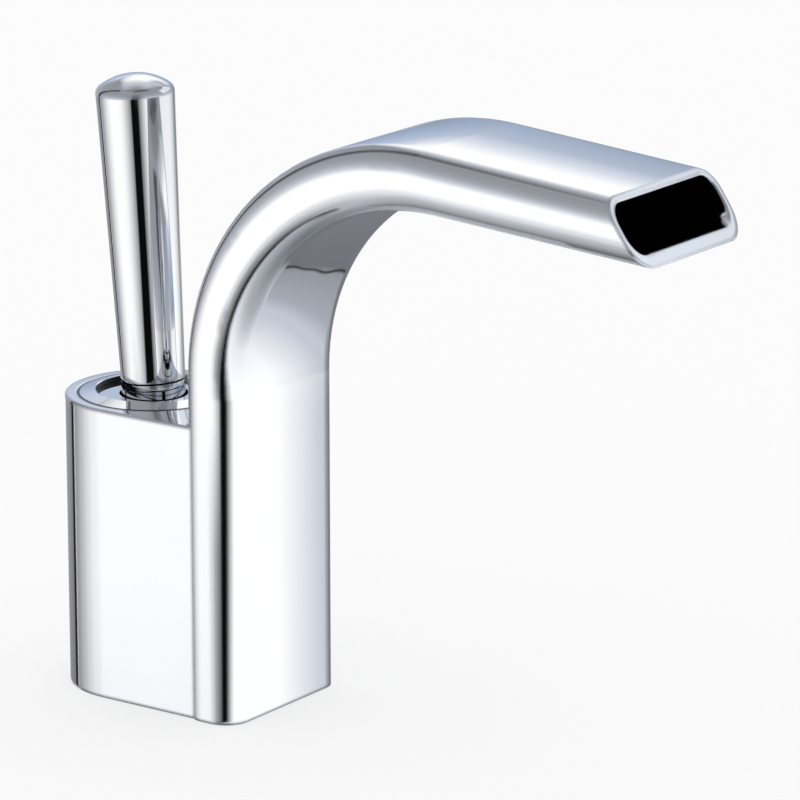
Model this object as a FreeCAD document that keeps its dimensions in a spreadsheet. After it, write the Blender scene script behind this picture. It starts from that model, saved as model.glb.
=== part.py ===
import FreeCAD
import Part
import Sketcher
import math
import os
import re

# Waterfall basin mixer: a hollow brass casting with an open spout, and a lever on a ball-headed
# ceramic cartridge. Millimetres. The origin is where the tap-hole axis meets the basin deck:
# +Z is up and the spout runs towards -Y.

# alias, value, meaning. Lengths are in millimetres and angles in degrees.
sizes = [
    # housing and spout, outside
    ("housing_height", 80.3, "deck to the flat top of the housing"),
    ("housing_half_width", 23.6, "also the radius of its round back"),
    ("housing_round_back", 6.5, "centre of the round back behind the tap-hole axis"),
    ("spout_half_width", 24.5, "half the width of column and spout"),
    ("column_front", 38.0, "front of the column before the tap-hole axis"),
    ("column_depth", 16.2, "front to back of the column"),
    ("front_bend_height", 88.9, "where the front face starts to bend"),
    ("front_bend_radius", 57.6, "bend of the underside"),
    ("front_fall", 4.0, "fall of the spout's underside"),
    ("back_bend_lift", 5.0, "the back face starts to bend above the front's"),
    ("bend_growth", 12.0, "the top's bend radius over the underside's"),
    ("back_fall", 4.6, "fall of the spout's top"),
    ("top_run", 56.5, "straight length of the top, up to the mouth"),
    ("lip_reach", 9.0, "the underside runs on further than the top"),
    ("back_edge_radius", 5.8, "rounding of the back and top edges"),
    ("front_edge_radius", 7.0, "rounding of the front and underside edges"),
    ("rim_break", 0.4, "small rounding of the housing's top edge"),
    # waterway
    ("top_wall", 1.5, "wall over the waterway"),
    ("underside_wall", 2.9, "wall under the waterway"),
    ("side_wall", 1.6, "walls beside the waterway"),
    ("waterway_floor", 7.0, "height of the waterway's lower end"),
    ("waterway_top_radius", 4.5, "rounding along the waterway's top and back"),
    ("waterway_low_radius", 5.0, "rounding along its front and underside"),
    ("bay_half_width", 15.0, "widening of the waterway towards the chamber"),
    ("bay_height", 34.5, "height of the widening"),
    ("bay_drop", 10.5, "widening's lower end below the cartridge's seat"),
    ("bay_back", 16.6, "back of the widening before the tap-hole axis"),
    # underside
    ("recess_radius", 16.5, "recess over the tap hole"),
    ("block_height", 14.0, "metal between the recess and the cartridge's seat"),
    ("inlet_radius", 4.46, "tapped inlet, M10 fine"),
    ("inlet_depth", 10.0, "depth of the inlet threads"),
    ("stud_hole_radius", 2.5, "tapped stud hole, M6"),
    ("stud_hole_depth", 9.0, "depth of the stud holes"),
    ("stud_spacing", 19.0, "between the two stud holes"),
    ("stud_row_front", 8.0, "stud holes before the tap-hole axis"),
    ("gasket_inset", 2.6, "gasket groove from the base's outline"),
    ("gasket_width", 2.6, "width of the base gasket"),
    ("gasket_depth", 1.5, "depth of the base gasket"),
    ("gasket_front", 24.5, "gasket's outline before the tap-hole axis, before its inset"),
    ("gasket_corner", 4.0, "corner rounding of the gasket"),
    # core plug
    ("plug_radius", 4.6, "threaded plug in the waterway's floor"),
    ("plug_length", 6.6, "length of the plug"),
    ("plug_head_radius", 6.4, "head of the plug"),
    ("plug_head_height", 2.0, "height of the plug's head"),
    ("plug_rise", 0.4, "head's face above the deck plane"),
    ("plug_socket_radius", 2.2, "round socket for the key"),
    ("plug_socket_depth", 3.0, "depth of the key's socket"),
    ("plug_seal_wire", 1.2, "O-ring wire under the plug's head"),
    # cartridge chamber in the casting
    ("cartridge_back", 6.0, "cartridge axis behind the tap-hole axis"),
    ("seat_drop", 38.3, "housing's top down to the floor that the cartridge stands on"),
    ("chamber_radius", 17.7, "bore round the cartridge"),
    ("nut_bore_radius", 19.0, "bore with the nut's thread"),
    ("bonnet_bore_radius", 20.6, "bore round the bonnet ring"),
    ("bonnet_bore_depth", 4.2, "depth of that bore"),
    # cartridge ports
    ("port_radius", 3.2, "hot and cold ports"),
    ("port_spread", 8.5, "hot and cold ports beside the cartridge axis"),
    ("outlet_radius", 3.6, "mixed-water port"),
    ("outlet_front", 6.8, "mixed-water port before the cartridge axis"),
    ("outlet_drop", 6.0, "seat down to the outlet passage"),
    # cartridge foot
    ("cartridge_radius", 17.2, "outside of foot and shell"),
    ("foot_height", 7.0, "foot up to the shell"),
    ("foot_spigot_height", 1.0, "spigot inside the shell"),
    ("shell_wall", 1.6, "wall of the shell"),
    ("peg_radius", 1.5, "locating pegs under the foot"),
    ("peg_length", 2.0, "length of the pegs"),
    ("peg_spread", 12.5, "pegs beside the cartridge axis"),
    ("peg_back", 7.0, "pegs behind the cartridge axis"),
    ("port_seal_radius", 4.9, "outside of a port seal"),
    ("port_seal_height", 1.6, "height of a port seal"),
    ("disc_seal_height", 1.2, "height of a seal under the fixed disc"),
    ("cartridge_seal_wire", 1.6, "O-ring wire round the foot"),
    ("cartridge_seal_height", 4.0, "middle of that O-ring above the seat"),
    # discs, carrier and guide
    ("fixed_disc_radius", 15.2, "fixed ceramic disc"),
    ("disc_height", 4.0, "height of each ceramic disc"),
    ("moving_disc_radius", 11.0, "moving ceramic disc"),
    ("disc_shift", 2.6, "moving disc before the axis when shut"),
    ("mix_half_width", 9.0, "half width of the mixing recess"),
    ("mix_front", 9.4, "front of the mixing recess when shut"),
    ("mix_gap", 0.9, "closed land between recess and inlet ports"),
    ("mix_depth", 1.8, "depth of the mixing recess"),
    ("carrier_radius", 11.5, "round plate of the carrier"),
    ("carrier_plate", 3.0, "height of that plate"),
    ("carrier_pin_radius", 1.5, "pins that drive the moving disc"),
    ("carrier_pin_spread", 8.0, "pins beside the axis"),
    ("carrier_pin_length", 1.6, "length of the pins"),
    ("slider_half_width", 6.0, "block that runs in the guide"),
    ("slider_length", 16.0, "length of that block"),
    ("slider_height", 3.0, "height of that block"),
    ("guide_radius", 15.3, "turning guide"),
    ("guide_height", 7.7, "height of the guide"),
    ("guide_slot_front", 3.8, "slot for the arm before the axis"),
    ("guide_slot_back", 8.0, "slot for the arm behind the axis"),
    # shell top, ball and lever seat
    ("shell_drop", 8.3, "housing's top down to the shell's shoulder"),
    ("shell_roof", 3.0, "thickness of the shell's roof"),
    ("pivot_drop", 1.3, "housing's top down to the centre of the ball"),
    ("ball_radius", 4.8, "ball of the stem"),
    ("tower_radius", 6.0, "outside of the ball tower"),
    ("tower_rise", 0.3, "tower's top above the ball's centre"),
    ("tower_mouth_radius", 5.9, "flare of the tower below, for the arm"),
    ("tower_throat_radius", 4.1, "narrowest passage for the arm"),
    ("throat_drop", 5.7, "throat below the ball's centre"),
    ("ball_seat_height", 1.9, "height of the PTFE ring"),
    ("ball_seat_hole", 3.8, "hole in the PTFE ring"),
    ("throat_land", 1.0, "ledge that carries the PTFE ring"),
    ("cap_outer_radius", 6.1, "round outside of the ball's cap"),
    ("cap_top", 2.9, "top of the cap above the ball's centre"),
    ("arm_radius", 2.0, "arm below the ball"),
    ("arm_end_radius", 2.4, "round end of the arm"),
    ("arm_length", 16.5, "ball's centre to the arm's end"),
    ("stem_radius", 2.5, "stem above the ball"),
    ("stem_length", 26.0, "ball's centre to the stem's top"),
    # nut, washer, trim plate and bonnet ring
    ("washer_height", 0.4, "slip washer"),
    ("washer_hole_radius", 12.5, "hole in the slip washer"),
    ("nut_hole_radius", 12.2, "hole in the clamping nut"),
    ("nut_thread_height", 3.6, "threaded height of the nut"),
    ("nut_top_radius", 17.9, "upper part of the nut"),
    ("nut_height", 5.7, "full height of the nut"),
    ("nut_slot_width", 4.0, "wrench slots in the nut"),
    ("nut_slot_depth", 2.0, "depth of the wrench slots"),
    ("nut_slot_count", 4, "number of wrench slots"),
    ("plate_height", 1.7, "thickness of the trim plate"),
    ("plate_hole_radius", 9.3, "hole for the lever's collar"),
    ("ring_lip_radius", 15.65, "opening of the bonnet ring"),
    ("ring_lip_rise", 1.1, "ring's lip above the housing's top"),
    ("ring_roof_gap", 0.4, "ring's inner roof below the housing's top"),
    ("ring_seal_wire", 1.2, "O-ring wire round the bonnet ring"),
    ("ring_seal_drop", 2.2, "O-ring below the housing's top"),
    # lever
    ("lever_rake", 3.5, "shut lever leans back"),
    ("collar_radius", 8.6, "outside of the collar"),
    ("collar_bore_radius", 7.2, "inside of the collar"),
    ("collar_flare_radius", 7.9, "inside at the collar's lower end"),
    ("collar_drop", 2.8, "collar's lower end below the pivot"),
    ("collar_flare_drop", 1.1, "start of the flare below the pivot"),
    ("collar_rise", 4.8, "collar's top above the pivot"),
    ("collar_web_rise", 4.55, "underside of the collar's web"),
    ("collar_neck_radius", 6.8, "neck inside the lever"),
    ("collar_neck_height", 2.2, "height of that neck"),
    ("collar_hole_radius", 4.4, "hole in the collar's web"),
    ("line_rise", 2.95, "turned line round the collar, above the pivot"),
    ("line_depth", 0.35, "depth of the turned line"),
    ("joint_line", 0.25, "open line between collar and lever"),
    ("lever_foot_radius", 8.7, "radius at the lever's lower end"),
    ("lever_head_radius", 10.65, "radius of the domed top"),
    ("lever_top", 87.9, "pivot to the top of the dome"),
    ("dome_height", 5.4, "height of the dome"),
    ("dome_edge_radius", 3.0, "rounding between the lever's side and its dome"),
    ("lever_foot_break", 0.3, "small bevel at the lever's lower end"),
    ("sleeve_radius", 3.8, "outside of the stem's sleeve"),
    ("sleeve_length", 18.5, "length of the stem's sleeve"),
    ("screw_radius", 2.0, "grub screw, M4"),
    ("screw_height", 17.0, "grub screw above the pivot"),
    ("screw_length", 5.6, "length of the grub screw"),
    ("key_radius", 1.1, "key socket in the grub screw"),
    ("key_depth", 1.8, "depth of that socket"),
    # clearances
    ("thread_gap", 0.05, "between male and female threads"),
    ("slide_gap", 0.10, "between sliding faces"),
    ("bore_gap", 0.15, "round turning plastic pieces"),
    ("peg_gap", 0.10, "round pegs and pins"),
    ("arm_gap", 0.30, "round the end of the arm"),
    ("seal_gap", 0.05, "round rubber seals"),
    ("face_gap", 0.05, "between stacked faces that turn or slip"),
    ("push_gap", 0.02, "between pushed-in pieces"),
]

# sizes that follow from those above
derived = [
    ("back_bend_height", "=front_bend_height + back_bend_lift", "where the back face starts to bend"),
    ("back_bend_radius", "=front_bend_radius + bend_growth", "bend of the top"),
    ("underside_run", "=top_run + lip_reach", "straight length of the underside, up to the mouth"),
    ("seat_height", "=housing_height - seat_drop", "floor that the cartridge stands on"),
    ("recess_depth", "=seat_height - block_height", "depth of the recess over the tap hole"),
    ("bay_floor", "=seat_height - bay_drop", "lower end of the widening"),
    ("bay_top", "=bay_floor + bay_height", "upper end of the widening"),
    ("shell_top", "=housing_height - shell_drop", "shoulder of the shell"),
    ("pivot_height", "=housing_height - pivot_drop", "centre of the ball"),
    ("dome_radius", "=((lever_head_radius - dome_edge_radius)^2 + dome_height^2 - dome_edge_radius^2)"
     " / (2 * (dome_height - dome_edge_radius))", "the dome's own radius, to run into its edge"),
]

doc = FreeCAD.newDocument("WaterfallMixer")
sheet = doc.addObject("Spreadsheet::Sheet", "Sizes")
for row, (alias, entry, meaning) in enumerate(sizes + derived, start=1):
    sheet.set(f"A{row}", alias)
    sheet.set(f"B{row}", str(entry))
    sheet.set(f"C{row}", meaning)
    sheet.setAlias(f"B{row}", alias)
doc.recompute()

aliases = {alias for alias, entry, meaning in sizes + derived}


def bound(text):
    """The formula as the document reads it: every size name points into the sheet."""
    return re.sub(r"[a-z]\w*", lambda word: "Sizes." + word[0] if word[0] in aliases else word[0], text)


def value(text):
    """The formula's number now."""
    return float(sheet.evalExpression(bound(text)))


def bind(thing, field, text):
    """Ties one property of an object to a formula of the sheet."""
    thing.setExpression(field, bound(text))


# heights and places that several pieces share
pivotY = "cartridge_back"
footTop = "seat_height + foot_height"
discSeat = "seat_height + foot_height + foot_spigot_height"
movingDiscSeat = discSeat + " + disc_height"
carrierSeat = movingDiscSeat + " + disc_height"
guideSeat = carrierSeat + " + carrier_plate + slide_gap"
shellInner = "cartridge_radius - shell_wall"
washerSeat = "shell_top"
nutSeat = "shell_top + washer_height"
plateSeat = nutSeat + " + nut_height + face_gap"
ringRoof = "housing_height - ring_roof_gap"
ballHollow = "ball_radius + slide_gap"
frontY = "0 - column_front"
backY = "column_depth - column_front"
plugY = "0 - column_front + (underside_wall + column_depth - top_wall) / 2"
carrierHoleFront = "arm_length * sin(lever_rake)"


def planeOf(body, role):
    """One of the body's own origin planes."""
    return next(plane for plane in body.Origin.OriginFeatures if plane.Role == role)


def newBody(label):
    body = doc.addObject("PartDesign::Body", label)
    body.Label = label
    return body


def newSketch(body, name, role, height=None):
    """A sketch on an origin plane, or parallel to it at a height above it."""
    sketch = body.newObject("Sketcher::SketchObject", name)
    sketch.AttachmentSupport = [(planeOf(body, role), "")]
    sketch.MapMode = "FlatFace"
    if height is not None:
        bind(sketch, "AttachmentOffset.Base.z", height)
    return sketch


def pinPoint(sketch, edge, end, across, along):
    """Fixes a point of the sketch at two formulas, or on an axis where the formula is 0."""
    for kind, axis, text in (("DistanceX", -2, across), ("DistanceY", -1, along)):
        if text == "0":
            sketch.addConstraint(Sketcher.Constraint("PointOnObject", edge, end, axis))
            continue
        index = sketch.addConstraint(Sketcher.Constraint(kind, -1, 1, edge, end, value(text)))
        bind(sketch, f"Constraints[{index}]", text)


def addOutline(sketch, corners, arcs=None):
    """A closed outline through corners given as formula pairs.

    arcs maps an edge's number to its radius and side: 1 puts the centre to the left of the
    way from the edge's first corner to its second, and -1 to the right.
    """
    arcs = arcs or {}
    points = [FreeCAD.Vector(value(across), value(along), 0) for across, along in corners]
    edges = []
    for number, start in enumerate(points):
        finish = points[(number + 1) % len(points)]
        if number in arcs:
            radius, side = value(arcs[number][0]), arcs[number][1]
            middle, half = (start + finish) / 2, (finish - start) / 2
            left = FreeCAD.Vector(-half.y, half.x, 0).normalize()
            centre = middle + left * (side * math.sqrt(max(radius ** 2 - half.Length ** 2, 0)))
            # arcs always run anticlockwise, so one with its centre to the right is turned round
            ends = (start, finish) if side > 0 else (finish, start)
            angles = [math.atan2(point.y - centre.y, point.x - centre.x) for point in ends]
            circle = Part.Circle(centre, FreeCAD.Vector(0, 0, 1), radius)
            edge = sketch.addGeometry(Part.ArcOfCircle(circle, *angles), False)
            flipped = side < 0
        else:
            edge = sketch.addGeometry(Part.LineSegment(start, finish), False)
            flipped = False
        edges.append((edge, 2 if flipped else 1, 1 if flipped else 2))
    for number, (edge, head, tail) in enumerate(edges):
        following = edges[(number + 1) % len(edges)]
        sketch.addConstraint(Sketcher.Constraint("Coincident", edge, tail, following[0], following[1]))
        pinPoint(sketch, edge, head, *corners[number])
        if number in arcs:
            index = sketch.addConstraint(Sketcher.Constraint("Radius", edge, value(arcs[number][0])))
            bind(sketch, f"Constraints[{index}]", arcs[number][0])
    return sketch


def addCircle(sketch, across, along, radius):
    """A circle whose centre and radius are formulas."""
    centre = FreeCAD.Vector(value(across), value(along), 0)
    edge = sketch.addGeometry(Part.Circle(centre, FreeCAD.Vector(0, 0, 1), value(radius)), False)
    index = sketch.addConstraint(Sketcher.Constraint("Radius", edge, value(radius)))
    bind(sketch, f"Constraints[{index}]", radius)
    pinPoint(sketch, edge, 3, across, along)


def addPad(body, name, sketch, length, middle=False):
    pad = body.newObject("PartDesign::Pad", name)
    pad.Profile = sketch
    pad.Midplane = middle
    bind(pad, "Length", length)
    doc.recompute()
    return pad


def addPocket(body, name, sketch, depth, middle=False, upward=False):
    pocket = body.newObject("PartDesign::Pocket", name)
    pocket.Profile = sketch
    pocket.Midplane = middle
    pocket.Reversed = upward
    bind(pocket, "Length", depth)
    doc.recompute()
    return pocket


def boreHoles(body, name, centres, radius, low, high):
    """Round holes along Z, given by their centres and by where they start and end."""
    sketch = newSketch(body, name + "_sketch", "XY_Plane", high)
    for across, along in centres:
        addCircle(sketch, across, along, radius)
    return addPocket(body, name, sketch, f"({high}) - ({low})")


def addRounding(body, name, kind, base, edgeTest, size):
    """Fillets or chamfers every edge of the base feature that the test picks."""
    edges = base.Shape.Edges
    picked = [f"Edge{number + 1}" for number, edge in enumerate(edges) if edgeTest(edge)]
    feature = body.newObject(kind, name)
    feature.Base = (base, picked)
    bind(feature, "Radius" if kind == "PartDesign::Fillet" else "Size", size)
    doc.recompute()
    return feature


def turned(label, corners, arcs=None, depth=pivotY, height="0"):
    """A turned piece: half its section, in radius and height, spun about the cartridge axis."""
    body = newBody(label)
    sketch = addOutline(newSketch(body, label + "_section", "XZ_Plane"), corners, arcs)
    spin = body.newObject("PartDesign::Revolution", label + "_turned")
    spin.Profile = sketch
    spin.ReferenceAxis = (sketch, ["V_Axis"])
    spin.Angle = 360
    bind(body, "Placement.Base.y", depth)
    bind(body, "Placement.Base.z", height)
    doc.recompute()
    return body


def leanBack(body):
    """Sets a piece that is drawn along the upright stem onto the raked one."""
    body.Placement = FreeCAD.Placement(FreeCAD.Vector(), FreeCAD.Rotation(FreeCAD.Vector(1, 0, 0), -1))
    bind(body, "Placement.Base.y", pivotY)
    bind(body, "Placement.Base.z", "pivot_height")
    bind(body, "Placement.Rotation.Angle", "0 - lever_rake")
    doc.recompute()
    return body


def spoutProfile(sketch, frontInset, backInset, low):
    """Side view of the bent column and spout, drawn inside its faces by the two insets."""
    frontRadius = f"(front_bend_radius + {frontInset})"
    backRadius = f"(back_bend_radius - {backInset})"
    frontCentre = "(0 - column_front - front_bend_radius)"
    backCentre = "(column_depth - column_front - back_bend_radius)"
    frontEnd = (f"{frontCentre} - {frontRadius} * sin(front_fall)",
                f"front_bend_height + {frontRadius} * cos(front_fall)")
    backEnd = (f"{backCentre} - {backRadius} * sin(back_fall)",
               f"back_bend_height + {backRadius} * cos(back_fall)")
    # inner outlines run past the mouth, so that the waterway opens there
    frontRun = f"(underside_run + 4 * {frontInset})"
    backRun = f"(top_run + 9 * {backInset})"
    corners = [
        (f"{frontCentre} + {frontRadius}", low),
        (f"{backCentre} + {backRadius}", low),
        (f"{backCentre} + {backRadius}", "back_bend_height"),
        backEnd,
        (f"{backEnd[0]} - {backRun} * cos(back_fall)", f"{backEnd[1]} - {backRun} * sin(back_fall)"),
        (f"{frontEnd[0]} - {frontRun} * cos(front_fall)", f"{frontEnd[1]} - {frontRun} * sin(front_fall)"),
        frontEnd,
        (f"{frontCentre} + {frontRadius}", "front_bend_height"),
    ]
    return addOutline(sketch, corners, {2: (backRadius, 1), 6: (frontRadius, -1)})


def longEdges(side, inset, face):
    """Picks the edges that run along the spout at one side, on its back or on its front."""
    frontCentre = FreeCAD.Vector(0, value("0 - column_front - front_bend_radius"), value("front_bend_height"))
    backCentre = FreeCAD.Vector(0, value("column_depth - column_front - back_bend_radius"),
                                value("back_bend_height"))

    def offCurve(point):
        # distance of a point from the back or the front face, in the side view
        if face == "back":
            centre, radius, fall = backCentre, value("back_bend_radius"), value("back_fall")
        else:
            centre, radius, fall = frontCentre, value("front_bend_radius"), value("front_fall")
        across, up = point.y - centre.y, point.z - centre.z
        fallen = math.radians(fall)
        if up < 0:
            return abs(across - radius)
        if across < -radius * math.sin(fallen):
            return abs(-math.sin(fallen) * across + math.cos(fallen) * up - radius)
        return abs(math.hypot(across, up) - radius)

    def test(edge):
        points = [edge.valueAt(edge.FirstParameter + part * (edge.LastParameter - edge.FirstParameter))
                  for part in (0.05, 0.5, 0.95)]
        inPlane = all(abs(abs(point.x) - side) < 1e-3 for point in points)
        return inPlane and all(abs(offCurve(point) - inset) < 1e-2 for point in points)

    return test


def houseOutline(sketch, inset, width="housing_half_width"):
    """Plan of the housing: flat sides and a round back. Its front lies inside the column."""
    half = f"{width} - {inset}"
    corners = [
        (f"0 - ({half})", f"{backY} - back_edge_radius"),
        (f"{half}", f"{backY} - back_edge_radius"),
        (f"{half}", "housing_round_back"),
        ("0", f"housing_round_back + {half}"),
        (f"0 - ({half})", "housing_round_back"),
    ]
    return addOutline(sketch, corners, {2: (half, 1), 3: (half, 1)})


def gasketOutline(sketch, inset):
    """A closed line round the recess, at an inset from the housing's sides and back."""
    half = f"(housing_half_width - {inset})"
    front = f"({inset} - gasket_front)"
    corner = "gasket_corner"
    corners = [
        (f"0 - {half} + {corner}", front),
        (f"{half} - {corner}", front),
        (half, f"{front} + {corner}"),
        (half, "housing_round_back"),
        ("0", f"housing_round_back + {half}"),
        (f"0 - {half}", "housing_round_back"),
        (f"0 - {half}", f"{front} + {corner}"),
    ]
    return addOutline(sketch, corners, {1: (corner, 1), 3: (half, 1), 4: (half, 1), 6: (corner, 1)})


def spoutForm(body, name, side, frontInset, backInset, low, backRadius, frontRadius):
    """Bent form of column and spout, inside their faces by the insets, with its long edges rounded."""
    sketch = spoutProfile(newSketch(body, name + "_side_view", "YZ_Plane"), frontInset, backInset, low)
    form = addPad(body, name, sketch, f"2 * ({side})", middle=True)
    for face, inset, radius in (("back", backInset, backRadius), ("front", frontInset, frontRadius)):
        form = addRounding(body, f"{name}_{face}_edges", "PartDesign::Fillet", form,
                           longEdges(value(side), value(inset), face), radius)
    return form


def makeWaterway():
    """The space inside the spout, as the core that leaves it in the casting."""
    core = newBody("waterway_core")
    spoutForm(core, "waterway", "spout_half_width - side_wall", "underside_wall", "top_wall", "waterway_floor",
              "waterway_top_radius", "waterway_low_radius")
    return core


def makeCasting():
    """The casting: spout and column, housing, waterway, cartridge chamber and underside."""
    core = makeWaterway()
    body = newBody("body_casting")
    spoutForm(body, "spout", "spout_half_width", "0", "0", "0", "back_edge_radius", "front_edge_radius")
    housing = addPad(body, "housing", houseOutline(newSketch(body, "housing_plan", "XY_Plane"), "0"),
                     "housing_height")
    half, roundBack, top = value("housing_half_width"), value("housing_round_back"), value("housing_height")

    def onRim(edge):
        point = edge.valueAt((edge.FirstParameter + edge.LastParameter) / 2)
        reach = math.hypot(point.x, max(point.y - roundBack, 0))
        return abs(point.z - top) < 1e-6 and abs(reach - half) < 1e-3

    housing = addRounding(body, "housing_rim", "PartDesign::Chamfer", housing, onRim, "rim_break")
    hollow = body.newObject("PartDesign::Boolean", "waterway_cut")
    hollow.Type = "Cut"
    hollow.setObjects([core])
    doc.recompute()
    bay = newSketch(body, "bay_plan", "XY_Plane", "bay_top")
    bayFront = f"{backY} - top_wall - waterway_top_radius"
    addOutline(bay, [("0 - bay_half_width", bayFront), ("bay_half_width", bayFront),
                     ("bay_half_width", "0 - bay_back"), ("0 - bay_half_width", "0 - bay_back")])
    addPocket(body, "bay", bay, "bay_top - bay_floor")
    # cartridge chamber
    axis = ("0", pivotY)
    boreHoles(body, "chamber", [axis], "chamber_radius", "seat_height", "housing_height + rim_break")
    boreHoles(body, "nut_bore", [axis], "nut_bore_radius", "shell_top - face_gap", "housing_height + rim_break")
    boreHoles(body, "bonnet_bore", [axis], "bonnet_bore_radius", "housing_height - bonnet_bore_depth",
              "housing_height + rim_break")
    boreHoles(body, "peg_holes", [("peg_spread", pivotY + " + peg_back"), ("0 - peg_spread", pivotY + " + peg_back")],
              "peg_radius + peg_gap", "seat_height - peg_length - peg_gap", "seat_height + peg_gap")
    # underside: recess over the tap hole, inlets, studs and gasket groove
    inlets = [("port_spread", pivotY), ("0 - port_spread", pivotY)]
    boreHoles(body, "recess", [("0", "0")], "recess_radius", "0", "recess_depth")
    boreHoles(body, "inlet_ways", inlets, "port_radius", "recess_depth", "seat_height + peg_gap")
    boreHoles(body, "inlet_threads", inlets, "inlet_radius", "recess_depth - peg_gap",
              "recess_depth + inlet_depth")
    boreHoles(body, "stud_holes", [("stud_spacing / 2", "0 - stud_row_front"),
                                   ("0 - stud_spacing / 2", "0 - stud_row_front")],
              "stud_hole_radius", "recess_depth - peg_gap", "recess_depth + stud_hole_depth")
    outletY = f"{pivotY} - outlet_front"
    boreHoles(body, "outlet_drop_way", [("0", outletY)], "outlet_radius", "seat_height - outlet_drop",
              "seat_height + peg_gap")
    passage = newSketch(body, "outlet_passage_end", "XZ_Plane", f"0 - ({outletY})")
    addCircle(passage, "0", "seat_height - outlet_drop", "outlet_radius")
    addPocket(body, "outlet_passage", passage, f"{outletY} + bay_back + top_wall", upward=True)
    boreHoles(body, "plug_hole", [("0", plugY)], "plug_radius + thread_gap", "0", "waterway_floor + peg_gap")
    boreHoles(body, "plug_counterbore", [("0", plugY)], "plug_head_radius + thread_gap", "0",
              "plug_rise + plug_head_height + plug_seal_wire")
    groove = newSketch(body, "gasket_groove_plan", "XY_Plane", "gasket_depth")
    gasketOutline(groove, "gasket_inset")
    gasketOutline(groove, "(gasket_inset + gasket_width)")
    addPocket(body, "gasket_groove", groove, "gasket_depth")
    return body


def makeGasket():
    """The flat rubber gasket in the base's groove, flush with the base."""
    body = newBody("base_gasket")
    sketch = newSketch(body, "gasket_plan", "XY_Plane")
    gasketOutline(sketch, "(gasket_inset + seal_gap)")
    gasketOutline(sketch, "(gasket_inset + gasket_width - seal_gap)")
    addPad(body, "gasket", sketch, "gasket_depth")
    return body


def makePlug():
    """The plug that closes the waterway, with a socket for its key, and the O-ring on it."""
    head = "plug_rise + plug_head_height"
    body = turned("core_plug", [
        ("plug_socket_radius", "plug_rise"), ("plug_head_radius", "plug_rise"), ("plug_head_radius", head),
        ("plug_radius", head), ("plug_radius", "plug_rise + plug_length"), ("0", "plug_rise + plug_length"),
        ("0", "plug_rise + plug_socket_depth"), ("plug_socket_radius", "plug_rise + plug_socket_depth"),
    ], depth=plugY)
    return body


def rubberRing(label, ringRadius, wire, height, depth=pivotY):
    """An O-ring: ring radius to the middle of its wire, and the height of that middle."""
    ring = doc.addObject("Part::Torus", label)
    ring.Label = label
    bind(ring, "Radius1", ringRadius)
    bind(ring, "Radius2", f"({wire}) / 2")
    bind(ring, "Placement.Base.y", depth)
    bind(ring, "Placement.Base.z", height)
    return ring


def portRings(label, outer, hole, low, height):
    """Three flat rubber rings, one round each port of the cartridge."""
    body = newBody(label)
    sketch = newSketch(body, label + "_plan", "XY_Plane", low)
    for across, along in (("port_spread", pivotY), ("0 - port_spread", pivotY),
                          ("0", pivotY + " - outlet_front")):
        addCircle(sketch, across, along, outer)
        addCircle(sketch, across, along, hole)
    body.AllowCompound = True
    addPad(body, label + "_rings", sketch, height)
    return body


portCentres = [("port_spread", "0"), ("0 - port_spread", "0")]
outletCentre = [("0", "0 - outlet_front")]


def makeFoot():
    """Foot of the cartridge: three ports, seal recesses above and below, two pegs, one O-ring groove."""
    low, middle = "seat_height", "seat_height + cartridge_seal_height"
    groove = "chamber_radius - cartridge_seal_wire - 2 * seal_gap"
    body = turned("cartridge_base", [
        ("0", low), ("cartridge_radius", low), ("cartridge_radius", f"{middle} - cartridge_seal_wire / 2 - seal_gap"),
        (groove, f"{middle} - cartridge_seal_wire / 2 - seal_gap"),
        (groove, f"{middle} + cartridge_seal_wire / 2 + seal_gap"),
        ("cartridge_radius", f"{middle} + cartridge_seal_wire / 2 + seal_gap"), ("cartridge_radius", footTop),
        (f"{shellInner} - push_gap", footTop), (f"{shellInner} - push_gap", discSeat), ("0", discSeat),
    ])
    boreHoles(body, "foot_ports", portCentres, "port_radius", low, discSeat)
    boreHoles(body, "foot_outlet", outletCentre, "outlet_radius", low, discSeat)
    recess = "port_seal_radius + seal_gap"
    boreHoles(body, "lower_recesses", portCentres + outletCentre, recess, low, f"{low} + port_seal_height")
    boreHoles(body, "upper_recesses", portCentres + outletCentre, recess, f"{discSeat} - disc_seal_height", discSeat)
    pegs = newSketch(body, "pegs_plan", "XY_Plane", f"{low} - peg_length")
    for across in ("peg_spread", "0 - peg_spread"):
        addCircle(pegs, across, "peg_back", "peg_radius")
    addPad(body, "pegs", pegs, "peg_length")
    return body


def makeFixedDisc():
    """Fixed ceramic disc with the three ports."""
    body = turned("fixed_disc", [("0", discSeat), ("fixed_disc_radius", discSeat),
                                 ("fixed_disc_radius", movingDiscSeat), ("0", movingDiscSeat)])
    boreHoles(body, "disc_ports", portCentres, "port_radius", discSeat, movingDiscSeat)
    boreHoles(body, "disc_outlet", outletCentre, "outlet_radius", discSeat, movingDiscSeat)
    return body


def makeMovingDisc():
    """Moving ceramic disc, drawn shut: a mixing recess below and two drive holes above."""
    body = turned("moving_disc", [("0", movingDiscSeat), ("moving_disc_radius", movingDiscSeat),
                                  ("moving_disc_radius", carrierSeat), ("0", carrierSeat)],
                  depth=f"{pivotY} - disc_shift")
    recess = newSketch(body, "mixing_recess_plan", "XY_Plane", f"{movingDiscSeat} + mix_depth")
    near = "disc_shift - port_radius - mix_gap"
    far = "disc_shift - mix_front"
    addOutline(recess, [("0 - mix_half_width + 3", far), ("mix_half_width - 3", far),
                        ("mix_half_width", near), ("0 - mix_half_width", near)])
    addPocket(body, "mixing_recess", recess, "mix_depth")
    boreHoles(body, "drive_holes", [("carrier_pin_spread", "0"), ("0 - carrier_pin_spread", "0")],
              "carrier_pin_radius + peg_gap", f"{carrierSeat} - carrier_pin_length - peg_gap", carrierSeat)
    return body


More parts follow.
